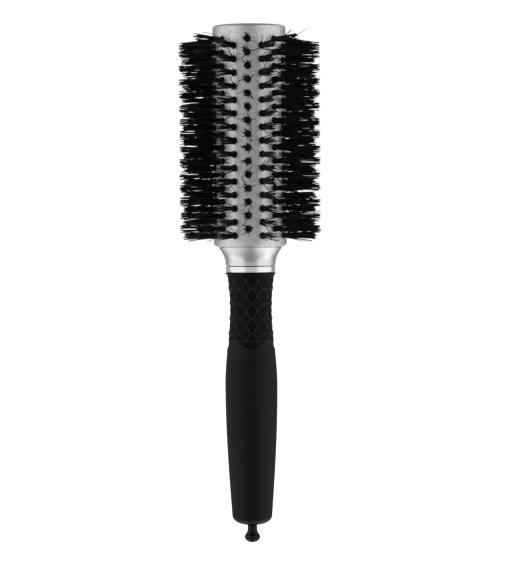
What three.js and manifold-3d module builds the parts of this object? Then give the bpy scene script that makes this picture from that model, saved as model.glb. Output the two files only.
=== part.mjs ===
// Round barrel brush for blow-drying, with a retractable sectioning pick in its handle.
// Millimetres, +Z up the brush's axis, origin at the bottom of the pick's knob.
import * as THREE from 'three';
import { mergeGeometries, mergeVertices } from 'three/addons/utils/BufferGeometryUtils.js';
import Module from 'manifold-3d';

const wasm = await Module();
wasm.setup();

// ---- driving dimensions ----------------------------------------------------------------
const GAP = 0.3;                    // clearance kept between pieces that touch

// Barrel. Its radii are measured to the flats of a 32-sided tube.
const BARREL_RADIUS = 17.5;         // 35 mm over the metal
const BARREL_WALL = 1.0;
const BARREL_BOTTOM = 142.9;
const BARREL_TOP = 248.9;
const RIM_FILLET = 1.5;             // rounding of the top rim
const CHAMFER_HEIGHT = 1.2;         // chamfer under the barrel
const CHAMFER_RADIUS = 15.6;        // where that chamfer ends
const LIP_RADIUS = 14.7;            // opening inside the rolled-in rims
const LIP_THICKNESS = 1.3;

// Bristle rows. Every other row is lower by half a pitch.
const ROWS = 16;
const BARREL_SIDES = 2 * ROWS;      // one flat for each row and one between rows
const TUFTS_PER_ROW = 15;
const TUFT_PITCH = 6.43;
const TOP_TUFT = 241.7;             // height of the highest tuft of the front row
const TIP_RADIUS = 34.0;            // bristle tips, from the axis
const TUFT_SIDES = 4;
const HOLE_HALF_WIDTH = 1.6;
const TUFT_HALF_WIDTH = 1.28;       // at the root
const TUFT_TIP_HALF_WIDTH = 1.65;

const STRIP_OUTSIDE = 16.0;         // outer face of a carrier strip, from the axis
const STRIP_THICKNESS = 1.4;
const STRIP_WIDTH = 4.4;
const STRIP_BOTTOM = BARREL_BOTTOM + 2.6;
const STRIP_TOP = BARREL_TOP - LIP_THICKNESS - GAP;

// Core that backs the strips, and the plug that closes the barrel.
const CORE_RADIUS = STRIP_OUTSIDE - STRIP_THICKNESS - GAP;
const CORE_BORE = 12.2;
const CORE_TOP = 246.2;
const PLUG_DISC_THICKNESS = 2.3;
const PLUG_SKIRT_DEPTH = 6.5;
const PLUG_SKIRT_WALL = 1.2;

// Ferrule: a flared neck, and a spigot inside the barrel.
const FERRULE_BOTTOM = 133.9;
const FERRULE_NECK_RADIUS = 11.9;
const FERRULE_MOUTH_RADIUS = 15.3;
const FERRULE_MOUTH = BARREL_BOTTOM - GAP;
const FLARE_POWER = 2.1;            // how suddenly the neck flares out
const FERRULE_WALL = 1.3;
const SPIGOT_TOP = 148.6;

const RING_BOTTOM = 130.8;
const RING_TOP = FERRULE_BOTTOM - GAP;
const RING_RADIUS = 11.8;
const RING_EDGE = 0.3;              // chamfer on the ring's two outer edges

// Tang of the handle, and the screw that pulls the barrel down onto it.
const TANG_RADIUS = 8.0;
const TANG_TOP = 158.2;
const WEB_BOTTOM = TANG_TOP + 0.4;  // web inside the core, under the screw's head
const WEB_TOP = WEB_BOTTOM + 3.0;
const SCREW_RADIUS = 2.0;
const SCREW_HOLE = 2.4;
const SCREW_TIP = 148.0;
const WASHER_RADIUS = 6.5;
const WASHER_THICKNESS = 1.0;
const HEAD_RADIUS = 3.6;
const HEAD_HEIGHT = 3.4;
const SOCKET_FLATS = 3.0;           // hexagon socket, across its flats
const SOCKET_DEPTH = 2.0;
const INSERT_RADIUS = 3.1;
const INSERT_BOTTOM = 146.6;

// Handle, from its rounded end up.
const HANDLE_BOTTOM = 8.6;
const END_HEIGHT = 14;              // top of the rounded end
const END_RADIUS = 9.75;
const END_POWER = 2.5;              // squareness of the rounded end
const BELLY_HEIGHT = 76;
const BELLY_RADIUS = 12.6;
const WAIST_HEIGHT = 113.5;
const WAIST_RADIUS = 10.15;
const MOUTH_HEIGHT = 129.7;         // under the lip at the handle's top
const MOUTH_RADIUS = 11.45;
const LIP_OUTSIDE = 12.0;
const HANDLE_TOP = 130.5;
const SLEEVE_WALL = 1.6;
const CORE_END = 10.9;              // lower end of the rigid handle core
const HANDLE_SIDES = 24;

// Belt of dished triangles on the upper grip, two of the handle's sides to a triangle.
const FACET_ROWS = 9;
const FACET_HEIGHT = 3.57;
const FACET_TOP = 130.1;            // where the belt's top edge would be without the lip
const FACET_DEPTH = 0.35;

// Retractable pick: it slides down out of the handle's end.
const PICK_TRAVEL = 60;
const ROD_RADIUS = 1.7;
const ROD_TOP_MARGIN = 3.3;         // rod above the stop clip
const TENON_RADIUS = 1.0;
const TENON_BOTTOM = 3.4;
const NECK_RADIUS = 2.3;
const NECK_BOTTOM = 7.0;
const KNOB_RADIUS = 3.8;
const KNOB_HEIGHT = 2.75;           // where the knob is widest
const KNOB_DEPTH = 2.85;            // half-axis of its rounded underside, cut flat at z = 0
const GUIDE_RADIUS = 4.0;
const GUIDE_BORE = ROD_RADIUS + 0.35;
const GUIDE_BOTTOM = 8.8;
const GUIDE_TOP = 24.0;
const GROOVE_MIDDLE = 12.4;         // groove inside the guide, for the friction ring
const GROOVE_HALF_HEIGHT = 1.0;
const GROOVE_RADIUS = 3.5;
const PICK_BORE = 2.9;
const CLIP_RADIUS = 2.5;
const CLIP_THICKNESS = 1.4;
const CLIP_SEAT_RADIUS = 1.2;

// ---- materials -------------------------------------------------------------------------
const material = (color, roughness, metalness) =>
  new THREE.MeshStandardMaterial({ color, roughness, metalness });

const SATIN_ALUMINIUM = material(0xb9bbbd, 0.38, 1.0);
const BRIGHT_ALUMINIUM = material(0xd2d3d5, 0.25, 1.0);
const STEEL = material(0x9a9c9f, 0.35, 1.0);
const BRASS = material(0xb98f45, 0.35, 1.0);
const SOFT_TOUCH = material(0x1b1b1c, 0.75, 0.0);
const BLACK_PLASTIC = material(0x131314, 0.4, 0.0);
const DARK_PLASTIC = material(0x2a2b2d, 0.55, 0.0);
const BRISTLE = material(0x161413, 0.5, 0.0);
const SEAL_RUBBER = material(0x0e0e0e, 0.6, 0.0);

// ---- helpers ---------------------------------------------------------------------------
const brush = new THREE.Group();

function addPiece(name, geometry, pieceMaterial) {
  const mesh = new THREE.Mesh(geometry, pieceMaterial);
  mesh.name = name;
  brush.add(mesh);
}

const steps = (count) => Array.from({ length: count + 1 }, (_, i) => i / count);

// Positions only, with shared vertices merged and collapsed triangles dropped.
function weld(geometry) {
  const plain = geometry.clone();
  plain.deleteAttribute('normal');
  plain.deleteAttribute('uv');
  const welded = mergeVertices(plain, 1e-4);
  const corners = welded.index.array;
  const kept = [];
  for (let i = 0; i < corners.length; i += 3) {
    const triangle = [corners[i], corners[i + 1], corners[i + 2]];
    if (new Set(triangle).size === 3) kept.push(...triangle);
  }
  welded.setIndex(kept);
  return welded;
}

function toSolid(geometry) {
  const welded = weld(geometry);
  return new wasm.Manifold(new wasm.Mesh({
    numProp: 3,
    vertProperties: new Float32Array(welded.attributes.position.array),
    triVerts: new Uint32Array(welded.index.array),
  }));
}

function toGeometry(solid) {
  const mesh = solid.getMesh();
  const geometry = new THREE.BufferGeometry();
  geometry.setAttribute('position', new THREE.BufferAttribute(mesh.vertProperties, 3));
  geometry.setIndex(new THREE.BufferAttribute(mesh.triVerts, 1));
  return geometry;
}

// Turns a [radius, height] outline about Z. It runs up the outer side, from axis to axis.
// One flat of the turned piece faces the front (-Y).
function turned(outline, segments) {
  const points = outline.map(([radius, height]) => new THREE.Vector2(radius, height));
  const geometry = new THREE.LatheGeometry(points, segments, Math.PI / segments);
  return weld(geometry.rotateX(Math.PI / 2));
}

// The same for an outline that closes on itself.
const turnedRing = (outline, segments) => turned([...outline, outline[0]], segments);

// Radius at the corners of a polygon whose flats lie at flatRadius.
const acrossCorners = (flatRadius, sides) => flatRadius / Math.cos(Math.PI / sides);

// Turns an outline whose radii are measured to the flats.
const turnedToFlats = (outline, sides) =>
  turnedRing(outline.map(([radius, height]) => [acrossCorners(radius, sides), height]), sides);

// ---- barrel and bristle rows -----------------------------------------------------------
// A tapering pin that points to the front at one height, with two of its sides facing +-X.
function frontPin(innerRadius, outerRadius, innerHalfWidth, outerHalfWidth, height) {
  const pin = new THREE.CylinderGeometry(
    acrossCorners(innerHalfWidth, TUFT_SIDES),
    acrossCorners(outerHalfWidth, TUFT_SIDES),
    outerRadius - innerRadius,
    TUFT_SIDES, 1, false, Math.PI / 2 - Math.PI / TUFT_SIDES,
  );
  return pin.translate(0, -(innerRadius + outerRadius) / 2, height);
}

const rowAngle = (row) => row * 2 * Math.PI / ROWS;

function tuftHeights(row) {
  const top = TOP_TUFT - (row % 2) * TUFT_PITCH / 2;
  return Array.from({ length: TUFTS_PER_ROW }, (_, i) => top - i * TUFT_PITCH);
}

function barrelTube() {
  const inside = BARREL_RADIUS - BARREL_WALL;
  const fillet = steps(3).map((t) => [
    BARREL_RADIUS - RIM_FILLET * (1 - Math.cos(t * Math.PI / 2)),
    BARREL_TOP - RIM_FILLET * (1 - Math.sin(t * Math.PI / 2)),
  ]);
  let tube = toSolid(turnedToFlats([
    [LIP_RADIUS, BARREL_BOTTOM],
    [CHAMFER_RADIUS, BARREL_BOTTOM],
    [BARREL_RADIUS, BARREL_BOTTOM + CHAMFER_HEIGHT],
    ...fillet,
    [LIP_RADIUS, BARREL_TOP],
    [LIP_RADIUS, BARREL_TOP - LIP_THICKNESS],
    [inside, BARREL_TOP - LIP_THICKNESS],
    [inside, BARREL_BOTTOM + CHAMFER_HEIGHT + BARREL_WALL],
    [LIP_RADIUS, BARREL_BOTTOM + LIP_THICKNESS],
  ], BARREL_SIDES));
  for (let row = 0; row < ROWS; row += 1) {
    for (const height of tuftHeights(row)) {
      const hole = frontPin(
        inside - 1, BARREL_RADIUS + 1, HOLE_HALF_WIDTH, HOLE_HALF_WIDTH, height,
      );
      tube = tube.subtract(toSolid(hole.rotateZ(rowAngle(row))));
    }
  }
  return toGeometry(tube);
}

// A carrier strip with its tufts, moulded and bonded as one piece.
function tuftStrip(row) {
  const length = STRIP_TOP - STRIP_BOTTOM;
  const bar = new THREE.BoxGeometry(STRIP_WIDTH, STRIP_THICKNESS, length);
  bar.translate(0, -(STRIP_OUTSIDE - STRIP_THICKNESS / 2), STRIP_BOTTOM + length / 2);
  let strip = toSolid(bar);
  for (const height of tuftHeights(row)) {
    const tuft = frontPin(
      STRIP_OUTSIDE - STRIP_THICKNESS / 2, TIP_RADIUS,
      TUFT_HALF_WIDTH, TUFT_TIP_HALF_WIDTH, height,
    );
    strip = strip.add(toSolid(tuft));
  }
  return toGeometry(strip).rotateZ(rowAngle(row));
}

function spreaderCore() {
  return turnedToFlats([
    [CORE_BORE, SPIGOT_TOP + GAP],
    [CORE_RADIUS, SPIGOT_TOP + GAP],
    [CORE_RADIUS, CORE_TOP],
    [CORE_BORE, CORE_TOP],
    [CORE_BORE, WEB_TOP],
    [SCREW_HOLE, WEB_TOP],
    [SCREW_HOLE, WEB_BOTTOM],
    [CORE_BORE, WEB_BOTTOM],
  ], ROWS);
}

function endPlug() {
  const discBottom = BARREL_TOP - PLUG_DISC_THICKNESS;
  const skirtBottom = discBottom - PLUG_SKIRT_DEPTH;
  const skirtRadius = CORE_BORE - GAP;
  return turned([
    [0, discBottom],
    [skirtRadius - PLUG_SKIRT_WALL, discBottom],
    [skirtRadius - PLUG_SKIRT_WALL, skirtBottom],
    [skirtRadius, skirtBottom],
    [skirtRadius, discBottom],
    [LIP_RADIUS - GAP, discBottom],
    [LIP_RADIUS - GAP, BARREL_TOP],
    [0, BARREL_TOP],
  ], BARREL_SIDES);
}

// ---- ferrule, ring and hub -------------------------------------------------------------
// Height and outer radius of the ferrule's flare, from its neck (t = 0) to its mouth (t = 1).
const flareHeight = (t) => FERRULE_BOTTOM + t * (FERRULE_MOUTH - FERRULE_BOTTOM);
const flareRadius = (t) =>
  FERRULE_NECK_RADIUS + (FERRULE_MOUTH_RADIUS - FERRULE_NECK_RADIUS) * t ** FLARE_POWER;

const SPIGOT_RADIUS = CORE_RADIUS;
const SPIGOT_BORE = SPIGOT_RADIUS - FERRULE_WALL;
const ferruleBore = (t) => Math.min(SPIGOT_BORE, flareRadius(t) - FERRULE_WALL);

function ferrule() {
  const flare = steps(6).map((t) => [flareRadius(t), flareHeight(t)]);
  const bore = steps(3).map((t) => [ferruleBore(1 - t), flareHeight(1 - t)]);
  return turnedRing([
    ...flare,
    [SPIGOT_RADIUS, FERRULE_MOUTH],
    [SPIGOT_RADIUS, SPIGOT_TOP],
    [SPIGOT_BORE, SPIGOT_TOP],
    ...bore,
  ], 24);
}

function trimRing() {
  return turnedRing([
    [TANG_RADIUS + GAP, RING_BOTTOM],
    [RING_RADIUS - RING_EDGE, RING_BOTTOM],
    [RING_RADIUS, RING_BOTTOM + RING_EDGE],
    [RING_RADIUS, RING_TOP - RING_EDGE],
    [RING_RADIUS - RING_EDGE, RING_TOP],
    [TANG_RADIUS + GAP, RING_TOP],
  ], 24);
}

function barrelHub() {
  const bore = TANG_RADIUS + GAP;
  const outside = steps(3).map((t) => [ferruleBore(t) - 1.5 * GAP, flareHeight(t) + GAP]);
  return turnedRing([
    [bore, FERRULE_BOTTOM + GAP],
    ...outside,
    [SPIGOT_BORE - 1.5 * GAP, SPIGOT_TOP],
    [CORE_BORE - GAP, SPIGOT_TOP],
    [CORE_BORE - GAP, TANG_TOP],
    [bore, TANG_TOP],
  ], 24);
}

// ---- fastening -------------------------------------------------------------------------
function threadedInsert() {
  return turnedRing([
    [SCREW_RADIUS + GAP, INSERT_BOTTOM],
    [INSERT_RADIUS, INSERT_BOTTOM],
    [INSERT_RADIUS, TANG_TOP - GAP],
    [SCREW_RADIUS + GAP, TANG_TOP - GAP],
  ], 16);
}

const WASHER_BOTTOM = WEB_TOP + GAP;
const HEAD_BOTTOM = WASHER_BOTTOM + WASHER_THICKNESS + GAP;

function tieWasher() {
  return turnedRing([
    [SCREW_HOLE, WASHER_BOTTOM],
    [WASHER_RADIUS, WASHER_BOTTOM],
    [WASHER_RADIUS, WASHER_BOTTOM + WASHER_THICKNESS],
    [SCREW_HOLE, WASHER_BOTTOM + WASHER_THICKNESS],
  ], 24);
}

function tieScrew() {
  const headTop = HEAD_BOTTOM + HEAD_HEIGHT;
  const body = toSolid(turned([
    [0, SCREW_TIP],
    [SCREW_RADIUS - 0.5, SCREW_TIP],
    [SCREW_RADIUS, SCREW_TIP + 0.8],
    [SCREW_RADIUS, HEAD_BOTTOM],
    [HEAD_RADIUS, HEAD_BOTTOM],
    [HEAD_RADIUS, headTop],
    [0, headTop],
  ], 16));
  const socketRadius = acrossCorners(SOCKET_FLATS / 2, 6);
  const socket = new THREE.CylinderGeometry(socketRadius, socketRadius, 2 * SOCKET_DEPTH, 6);
  socket.rotateX(Math.PI / 2).translate(0, 0, headTop);
  return toGeometry(body.subtract(toSolid(socket)));
}

// ---- handle ----------------------------------------------------------------------------
// The handle's outer radius: a rounded end, a belly, a waist and a mouth under the lip.
function handleRadius(height) {
  if (height < END_HEIGHT) {
    const depth = (END_HEIGHT - height) / (END_HEIGHT - HANDLE_BOTTOM);
    return END_RADIUS * (1 - depth ** END_POWER) ** (1 / END_POWER);
  }
  if (height < BELLY_HEIGHT) {
    const t = (height - END_HEIGHT) / (BELLY_HEIGHT - END_HEIGHT);
    return END_RADIUS + (BELLY_RADIUS - END_RADIUS) * Math.sin(t * Math.PI / 2);
  }
  if (height < WAIST_HEIGHT) {
    const t = (height - BELLY_HEIGHT) / (WAIST_HEIGHT - BELLY_HEIGHT);
    return WAIST_RADIUS + (BELLY_RADIUS - WAIST_RADIUS) * (1 + Math.cos(t * Math.PI)) / 2;
  }
  const t = (height - WAIST_HEIGHT) / (MOUTH_HEIGHT - WAIST_HEIGHT);
  return WAIST_RADIUS + (MOUTH_RADIUS - WAIST_RADIUS) * (1 - Math.cos(t * Math.PI / 2));
}

// Points on the handle's outline, set in by inset, from one height to another.
function handleOutline(inset, from, to, count) {
  return steps(count).map((t) => {
    const height = from + (to - from) * t;
    return [handleRadius(height) - inset, height];
  });
}

const GUIDE_POCKET = GUIDE_RADIUS + GAP;

// Height of a line between two rows of facets, counted from the top.
const facetLine = (line) => (line === 0 ? MOUTH_HEIGHT : FACET_TOP - line * FACET_HEIGHT);

// Each facet is a shallow dish: four triangles from its middle to its edges. The nodes where
// facets meet are moved on by half a facet from one line to the next.
function facetBelt() {
  const positions = [];
  const place = (side, height, depth) => {
    const angle = (side + 0.5) * 2 * Math.PI / HANDLE_SIDES;
    const radius = handleRadius(height) - depth;
    return [radius * Math.sin(angle), -radius * Math.cos(angle), height];
  };
  for (let line = 0; line < FACET_ROWS; line++) {
    const top = facetLine(line);
    const bottom = facetLine(line + 1);
    const third = (top - bottom) / 3;
    for (let side = line % 2; side < HANDLE_SIDES; side += 2) {
      const pointDown = [[1, bottom], [2, top], [1, top], [0, top]];
      const pointUp = [[1, bottom], [2, bottom], [3, bottom], [2, top]];
      const middles = [
        place(side + 1, top - third, FACET_DEPTH),
        place(side + 2, bottom + third, FACET_DEPTH),
      ];
      [pointDown, pointUp].forEach((outline, i) => {
        const edge = outline.map(([across, height]) => place(side + across, height, 0));
        edge.forEach((corner, j) => positions.push(...corner, ...edge[(j + 1) % 4], ...middles[i]));
      });
    }
  }
  const geometry = new THREE.BufferGeometry();
  geometry.setAttribute('position', new THREE.Float32BufferAttribute(positions, 3));
  return mergeVertices(geometry, 1e-4);
}

function gripSleeve() {
  const endCurve = [9.0, 9.6, 10.6, 12].map((height) => [handleRadius(height), height]);
  const beltBottom = facetLine(FACET_ROWS);
  const plain = turned([
    [handleRadius(MOUTH_HEIGHT), MOUTH_HEIGHT],
    [LIP_OUTSIDE, MOUTH_HEIGHT + 0.1],
    [LIP_OUTSIDE, HANDLE_TOP],
    ...handleOutline(SLEEVE_WALL, HANDLE_TOP, WAIST_HEIGHT, 2),
    ...handleOutline(SLEEVE_WALL, WAIST_HEIGHT - 10, CORE_END - GAP, 6),
    [GUIDE_POCKET, CORE_END - GAP],
    [GUIDE_POCKET, GUIDE_BOTTOM],
    ...endCurve,
    ...handleOutline(0, END_HEIGHT, BELLY_HEIGHT, 5),
    ...handleOutline(0, BELLY_HEIGHT + 7.5, beltBottom, 2),
  ], HANDLE_SIDES);
  return weld(mergeGeometries([plain, facetBelt()]));
}

const CLIP_BOTTOM = GUIDE_TOP + PICK_TRAVEL + GAP;
const CLIP_TOP = CLIP_BOTTOM + CLIP_THICKNESS;
const ROD_TOP = CLIP_TOP + ROD_TOP_MARGIN;

function handleCore() {
  const inset = SLEEVE_WALL + GAP;
  return turned([
    [0, ROD_TOP + 2],
    [PICK_BORE, ROD_TOP + 2],
    [PICK_BORE, GUIDE_TOP + GAP],
    [GUIDE_POCKET, GUIDE_TOP + GAP],
    [GUIDE_POCKET, CORE_END],
    ...handleOutline(inset, CORE_END, WAIST_HEIGHT - 10, 6),
    ...handleOutline(inset, WAIST_HEIGHT, HANDLE_TOP, 2),
    [TANG_RADIUS, HANDLE_TOP],
    [TANG_RADIUS, TANG_TOP],
    [INSERT_RADIUS + GAP, TANG_TOP],
    [INSERT_RADIUS + GAP, INSERT_BOTTOM - GAP],
    [0, INSERT_BOTTOM - GAP],
  ], HANDLE_SIDES);
}

// ---- retractable pick ------------------------------------------------------------------
function pickGuide() {
  return turnedRing([
    [GUIDE_BORE, GUIDE_BOTTOM],
    [GUIDE_RADIUS, GUIDE_BOTTOM],
    [GUIDE_RADIUS, GUIDE_TOP],
    [GUIDE_BORE, GUIDE_TOP],
    [GUIDE_BORE, GROOVE_MIDDLE + GROOVE_HALF_HEIGHT],
    [GROOVE_RADIUS, GROOVE_MIDDLE + GROOVE_HALF_HEIGHT],
    [GROOVE_RADIUS, GROOVE_MIDDLE - GROOVE_HALF_HEIGHT],
    [GUIDE_BORE, GROOVE_MIDDLE - GROOVE_HALF_HEIGHT],
  ], 16);
}

function frictionRing() {
  const sectionRadius = 0.6;
  const ring = new THREE.TorusGeometry(GUIDE_BORE + sectionRadius, sectionRadius, 8, 16);
  return weld(ring.translate(0, 0, GROOVE_MIDDLE));
}

const NECK_TOP = GUIDE_BOTTOM - GAP;

function pickRod() {
  return turned([
    [0, TENON_BOTTOM],
    [TENON_RADIUS, TENON_BOTTOM],
    [TENON_RADIUS, NECK_TOP + GAP],
    [ROD_RADIUS, NECK_TOP + GAP],
    [ROD_RADIUS, CLIP_BOTTOM - GAP],
    [CLIP_SEAT_RADIUS, CLIP_BOTTOM - GAP],
    [CLIP_SEAT_RADIUS, CLIP_TOP + GAP],
    [ROD_RADIUS, CLIP_TOP + GAP],
    [ROD_RADIUS, ROD_TOP - 1],
    [ROD_RADIUS / 2, ROD_TOP],
    [0, ROD_TOP],
  ], 16);
}

function pickStopClip() {
  return turnedRing([
    [CLIP_SEAT_RADIUS + GAP, CLIP_BOTTOM],
    [CLIP_RADIUS, CLIP_BOTTOM],
    [CLIP_RADIUS, CLIP_TOP],
    [CLIP_SEAT_RADIUS + GAP, CLIP_TOP],
  ], 16);
}

function pickKnob() {
  const start = Math.asin(KNOB_HEIGHT / KNOB_DEPTH);
  const end = -0.3;
  const underside = steps(6).map((t) => {
    const angle = start + (end - start) * t;
    return [KNOB_RADIUS * Math.cos(angle), KNOB_HEIGHT - KNOB_DEPTH * Math.sin(angle)];
  });
  const [edgeRadius, edgeHeight] = underside[underside.length - 1];
  const flare = new THREE.QuadraticBezierCurve(
    new THREE.Vector2(edgeRadius, edgeHeight),
    new THREE.Vector2(NECK_RADIUS, edgeHeight + 1.2),
    new THREE.Vector2(NECK_RADIUS, NECK_BOTTOM),
  ).getPoints(4).slice(1).map((point) => [point.x, point.y]);
  return turned([
    [0, 0],
    ...underside,
    ...flare,
    [NECK_RADIUS, NECK_TOP],
    [TENON_RADIUS + GAP, NECK_TOP],
    [TENON_RADIUS + GAP, TENON_BOTTOM - GAP],
    [0, TENON_BOTTOM - GAP],
  ], 16);
}

// ---- assembly --------------------------------------------------------------------------
addPiece('barrel_tube', barrelTube(), SATIN_ALUMINIUM);
for (let row = 0; row < ROWS; row += 1) {
  const number = String(row + 1).padStart(2, '0');
  addPiece(`tuft_strip_${number}`, tuftStrip(row), BRISTLE);
}
addPiece('spreader_core', spreaderCore(), DARK_PLASTIC);
addPiece('end_plug', endPlug(), BLACK_PLASTIC);
addPiece('ferrule', ferrule(), SATIN_ALUMINIUM);
addPiece('trim_ring', trimRing(), BRIGHT_ALUMINIUM);
addPiece('barrel_hub', barrelHub(), DARK_PLASTIC);
addPiece('threaded_insert', threadedInsert(), BRASS);
addPiece('tie_washer', tieWasher(), STEEL);
addPiece('tie_screw', tieScrew(), STEEL);
addPiece('handle_core', handleCore(), DARK_PLASTIC);
addPiece('grip_sleeve', gripSleeve(), SOFT_TOUCH);
addPiece('pick_guide', pickGuide(), BLACK_PLASTIC);
addPiece('friction_ring', frictionRing(), SEAL_RUBBER);
addPiece('pick_rod', pickRod(), BLACK_PLASTIC);
addPiece('pick_stop_clip', pickStopClip(), STEEL);
addPiece('pick_knob', pickKnob(), BLACK_PLASTIC);

export default brush;
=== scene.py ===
import math
import random

import bpy
from mathutils import Matrix, Vector


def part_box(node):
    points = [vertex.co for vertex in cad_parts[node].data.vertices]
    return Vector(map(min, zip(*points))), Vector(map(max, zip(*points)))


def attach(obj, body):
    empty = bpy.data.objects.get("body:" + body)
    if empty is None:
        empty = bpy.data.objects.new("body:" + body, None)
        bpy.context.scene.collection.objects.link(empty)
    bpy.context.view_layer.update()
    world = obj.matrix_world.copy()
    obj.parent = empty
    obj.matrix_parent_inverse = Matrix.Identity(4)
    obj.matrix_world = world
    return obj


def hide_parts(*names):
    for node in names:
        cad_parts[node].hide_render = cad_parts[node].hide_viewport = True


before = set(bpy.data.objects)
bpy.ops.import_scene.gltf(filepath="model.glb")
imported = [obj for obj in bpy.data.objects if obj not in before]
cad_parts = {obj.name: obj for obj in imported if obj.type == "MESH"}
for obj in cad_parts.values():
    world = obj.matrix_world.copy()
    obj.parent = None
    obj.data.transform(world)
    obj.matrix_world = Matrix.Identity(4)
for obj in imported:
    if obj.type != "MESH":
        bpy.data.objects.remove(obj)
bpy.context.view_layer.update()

# All sizes below are in millimetres unless a name says otherwise. Z is the brush's axis.
MM = 0.001

# ---- driving dimensions, as in the CAD part ---------------------------------------------
ROWS = 16
TUFTS_PER_ROW = 15
TUFT_PITCH = 6.43
TOP_TUFT = 241.7
BARREL_WALL = 1.0
RIM_FILLET = 1.5
CHAMFER_HEIGHT = 1.2
CHAMFER_RADIUS = 15.6
LIP_RADIUS = 14.7
LIP_THICKNESS = 1.3

FERRULE_NECK_RADIUS = 11.9
FERRULE_MOUTH_RADIUS = 15.3
FLARE_POWER = 2.1
FERRULE_WALL = 1.3
SPIGOT_RADIUS = 14.3
RING_RADIUS = 11.8
TANG_CLEARANCE_RADIUS = 8.3

END_HEIGHT = 14.0
END_RADIUS = 9.75
END_POWER = 2.5
HANDLE_BOTTOM = 8.6
BELLY_HEIGHT = 76.0
BELLY_RADIUS = 12.6
WAIST_HEIGHT = 113.5
WAIST_RADIUS = 10.15
MOUTH_HEIGHT = 129.7
MOUTH_RADIUS = 11.45
LIP_OUTSIDE = 12.0
LIP_BOTTOM = MOUTH_HEIGHT + 0.02
LIP_EDGE = 0.12
SLEEVE_WALL = 1.6
SLEEVE_END = 8.9                # where the rounded end starts, at the bush's pocket
SLEEVE_FLOOR = 10.6             # inner face of its end wall
POCKET_EDGE = ((0, 9.15), (0.08, 8.98), (0.28, 8.92))   # outward and height, a rounded edge
INNER_STEP = 6.0                # height of the mesh steps inside
GUIDE_POCKET = 4.3

ROD_RADIUS = 1.7
NECK_RADIUS = 2.3
NECK_BOTTOM = 7.0
KNOB_RADIUS = 3.8
KNOB_HEIGHT = 2.75
KNOB_DEPTH = 2.85
TENON_RADIUS = 1.0

PIECE_GAP = 0.3                 # between pieces that meet face to face

# ---- finer sizes that only the visual model has -----------------------------------------
CELL_STEPS = 6                  # mesh steps along each side of a tuft's cell
RING_SPREADS = (0.6, 0.25, 0.0)     # mesh rings from a cell's edge (1) to its hole (0)
HOLE_RADIUS = 1.55
HOLE_BEVEL = 0.16
RIM_EDGE = 0.25                 # small bevels on the barrel's rims
PLUG_DOME = 0.95                # height of a tuft's rounded root above the barrel
PLUG_CLEARANCE = 0.05           # between a root and its hole
PLUG_SUNK = 0.2                 # depth of the root in the carrier strip
PLUG_SEGMENTS = 20
BAR_WIDTH = 4.4                 # carrier strip inside the barrel
BAR_THICKNESS = 1.4
BAR_OUTSIDE = 16.0
BAR_EDGE = 0.2

BOAR_PER_TUFT = 77              # short fine bristles, gathered in locks
NYLON_PER_TUFT = 8              # long stiff bristles
LOCKS_PER_TUFT = 11
OUTER_LOCK_SHARE = 0.4          # share of locks that lean further out
OUTER_LOCK_REACH = 1.6          # how many times further
BOAR_RADIUS = 0.15
NYLON_RADIUS = 0.26
BRISTLE_SIDES = 3
BRISTLE_STEPS = 4
BRISTLE_TAPER = 0.25            # share of its width that a bristle loses towards its tip
FIRST_SEED = 1000               # each row draws from its own seed
ROOT_SPREAD = 0.8               # radius of a tuft where it leaves its plug
TIP_SPREAD = 1.8                # radius of its tips
LOCK_SPREAD = 0.16
BOAR_SHORTFALL = 0.3            # least distance from a short bristle's tip to the long ones'
SIDE_ROWS = (4, 12)             # rows whose top tufts are combed down
COMBED_DOWN = 2.6

# How far the random draws go: radii of discs, spreads, or a smallest and largest value.
TUFT_LEAN = 0.5
LOCK_DISTANCE_SHARE = (0.75, 1.25)
LOCK_TURN = 0.5                 # radians
LOCK_BOW = 2.0
LOCK_SHORTFALL = 0.9
BOAR_ROOT_OFFSET = 0.3
BOAR_TIP_SHORTFALL = 0.9
BOAR_RADIUS_SHARE = (0.85, 1.15)
NYLON_TURN = 0.4                # radians
NYLON_TIP_OFFSET = 0.5
NYLON_SHORTFALL = 0.35
NYLON_BOW = 1.0
STRAYS_PER_TUFT = (3, 6)
STRAY_LENGTH = (3, 11)
STRAY_LEAN_SHARE = (0.25, 0.7)  # sideways reach, as a share of the length
STRAY_BOW = 3.5

FACET_COLUMNS = 12              # triangular facets round the grip
FACET_HEIGHT = 3.57
FACET_TOP = 130.1
FACET_ROWS = 9
DEEP_DISH = 0.5                 # the facets are dished, by turns deeper and shallower
SHALLOW_DISH = 0.37
CREST_HEIGHT = 0.33             # the crests between them stand up a little more
CREST_PROUD = 0.25              # height of the crests above the plain skin
PATTERN_EDGE = 0.5              # the relief fades in over this height at its lower edge
CREST_SHARE = 0.26              # a crest's half width, as a share of a dish's depth
PLAIN_WEAR = 0.4                # wear of the plain skin, where a crest has 1 and a dish 0
FACET_TURN = math.radians(5)    # the pattern's turn from the front bristle row
SKIRT_WAVES = 4                 # long triangles along the pattern's lower edge
SKIRT_HEIGHT = 5.0
SKIRT_DISH = 0.35
SKIRT_RIM = 0.5                 # width of the raised rim under them
SKIRT_RIM_HEIGHT = 0.14
SKIRT_MARGIN = 0.6              # fine mesh below the skirt's points

GRIP_SEGMENTS = 32 * FACET_COLUMNS
GRIP_STEPS_PER_FACET = 15
PLAIN_STEP = 2.0                # height of the mesh steps on the plain part of the grip
TURN_SEGMENTS = 96
FINE_TURN_SEGMENTS = 64         # the bush and the knob
ROD_SEGMENTS = 48
FILLET_STEP = math.radians(18)
ON_AXIS = 1e-6                  # a smaller radius is a point on the axis


def box_mm(node):
    low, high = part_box(node)
    return [c / MM for c in low], [c / MM for c in high]


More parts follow.
